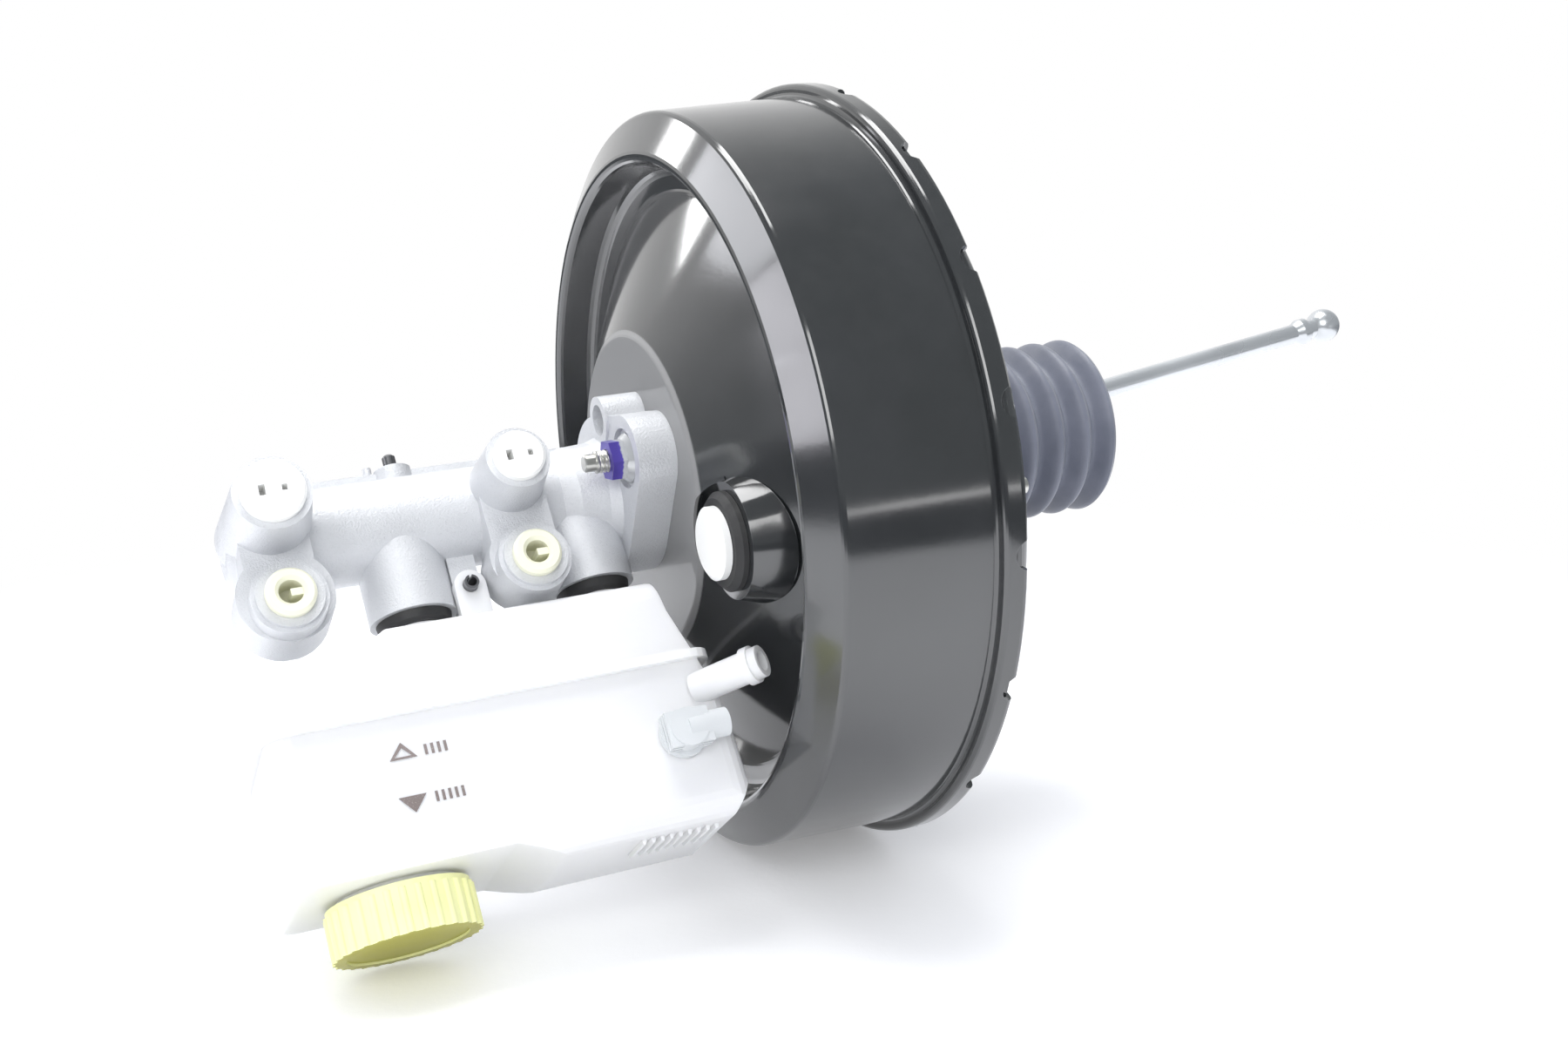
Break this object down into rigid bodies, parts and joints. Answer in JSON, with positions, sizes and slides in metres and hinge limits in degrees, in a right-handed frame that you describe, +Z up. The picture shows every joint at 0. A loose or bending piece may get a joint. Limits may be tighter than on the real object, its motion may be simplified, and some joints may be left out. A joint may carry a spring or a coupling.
{
  "type": "vacuum brake booster",
  "caption": "Single-diaphragm vacuum brake booster with a tandem master cylinder, fluid reservoir, ribbed rear boot and ball-ended push rod.",
  "frame": {"origin": "centre of the rear mounting face, on the booster axis", "axes": "+X along the booster axis out of the rear mounting face towards the pedal; +Z up as the unit lies on its rim and cap; the reservoir leans towards -Y"},
  "size_m": [0.4772, 0.2822, 0.2822],
  "materials": {
    "black_paint": "gloss black paint on pressed steel",
    "zinc_steel": "zinc plated steel",
    "bright_steel": "bright ground steel",
    "spring_steel": "oiled spring wire",
    "blue_nut": "blue-violet coated steel",
    "cast_aluminium": "sand-grained casting",
    "anodised_aluminium": "turned and anodised",
    "black_rubber": "matt black rubber",
    "grey_rubber": "satin blue-grey rubber",
    "dark_plastic": "matt phenolic",
    "pale_plastic": "matt light grey plastic",
    "white_plastic": "soft white plastic",
    "cream_plastic": "soft cream plastic",
    "milky_plastic": "milky translucent plastic",
    "yellow_plastic": "satin yellow plastic",
    "filter_felt": "open felt"
  },
  "bodies": {
    "housing": {"front_shell": "black_paint", "rear_shell": "black_paint", "reinforcement": "zinc_steel", "vacuum_grommet": "black_rubber", "vacuum_plug": "white_plastic", "mount_studs": "zinc_steel", "flange_studs": "zinc_steel", "flange_nuts": "blue_nut", "spigot_seal": "black_rubber", "rear_seal": "black_rubber", "seal_guide": "pale_plastic", "cylinder_body": "cast_aluminium", "snap_ring": "spring_steel", "stop_bolt": "zinc_steel", "primary_cups": "black_rubber", "secondary_cups": "black_rubber", "side_plugs": "white_plastic", "low_plugs": "cream_plastic", "reservoir_grommets": "black_rubber", "retaining_pin": "spring_steel", "reservoir": "milky_plastic", "level_switch": "pale_plastic", "secondary_spring": "spring_steel"},
    "power_piston": {"valve_body": "dark_plastic", "diaphragm_plate": "zinc_steel", "diaphragm": "black_rubber", "return_spring": "spring_steel", "boot": "grey_rubber", "reaction_disc": "black_rubber", "output_rod": "bright_steel", "valve_key": "zinc_steel", "poppet_seal": "black_rubber", "poppet_spring": "spring_steel", "spring_retainer": "zinc_steel", "air_filter": "filter_felt"},
    "plunger": {"valve_plunger": "bright_steel"},
    "rod": {"push_rod": "bright_steel"},
    "primary": {"primary_piston": "anodised_aluminium", "primary_spring": "spring_steel"},
    "secondary": {"secondary_piston": "anodised_aluminium"},
    "cap_gasket": {"cap_seal": "black_rubber"},
    "cap": {"cap": "yellow_plastic"},
    "float": {"float": "dark_plastic"}
  },
  "joints": [
    {"name": "valve_slide", "type": "slide", "parent": "housing", "child": "power_piston", "axis": [-1, 0, 0], "range_m": [0, 0.032], "stiffness_N_per_m": 1500, "springref_m": -0.02, "deforming": ["return_spring", "diaphragm", "boot"]},
    {"name": "plunger_slide", "type": "slide", "parent": "power_piston", "child": "plunger", "axis": [-1, 0, 0], "range_m": [0, 0.002], "stiffness_N_per_m": 500, "springref_m": -0.01},
    {"name": "rod_swing", "type": "hinge", "parent": "plunger", "child": "rod", "pos_m": [-0.007, 0, 0], "axis": [0, 1, 0], "range_deg": [-2, 15]},
    {"name": "primary_slide", "type": "slide", "parent": "housing", "child": "primary", "axis": [-1, 0, 0], "range_m": [0, 0.032], "deforming": ["primary_spring"]},
    {"name": "secondary_slide", "type": "slide", "parent": "housing", "child": "secondary", "axis": [-1, 0, 0], "range_m": [0, 0.016], "deforming": ["secondary_spring"]},
    {"name": "cap_lift", "type": "slide", "parent": "housing", "child": "cap_gasket", "axis": [0, -0.5736, -0.8192], "range_m": [0, 0.08]},
    {"name": "cap_turn", "type": "hinge", "parent": "cap_gasket", "child": "cap", "pos_m": [-0.2281, -0.0753, -0.1075], "axis": [0, -0.5736, -0.8192], "continuous": true},
    {"name": "float_slide", "type": "slide", "parent": "housing", "child": "float", "axis": [0, 0.5736, 0.8192], "range_m": [0, 0.04]}
  ],
  "couplings": [
    {"joint": "primary_slide", "follows": "valve_slide", "ratio": 1},
    {"joint": "secondary_slide", "follows": "valve_slide", "ratio": 0.5}
  ]
}
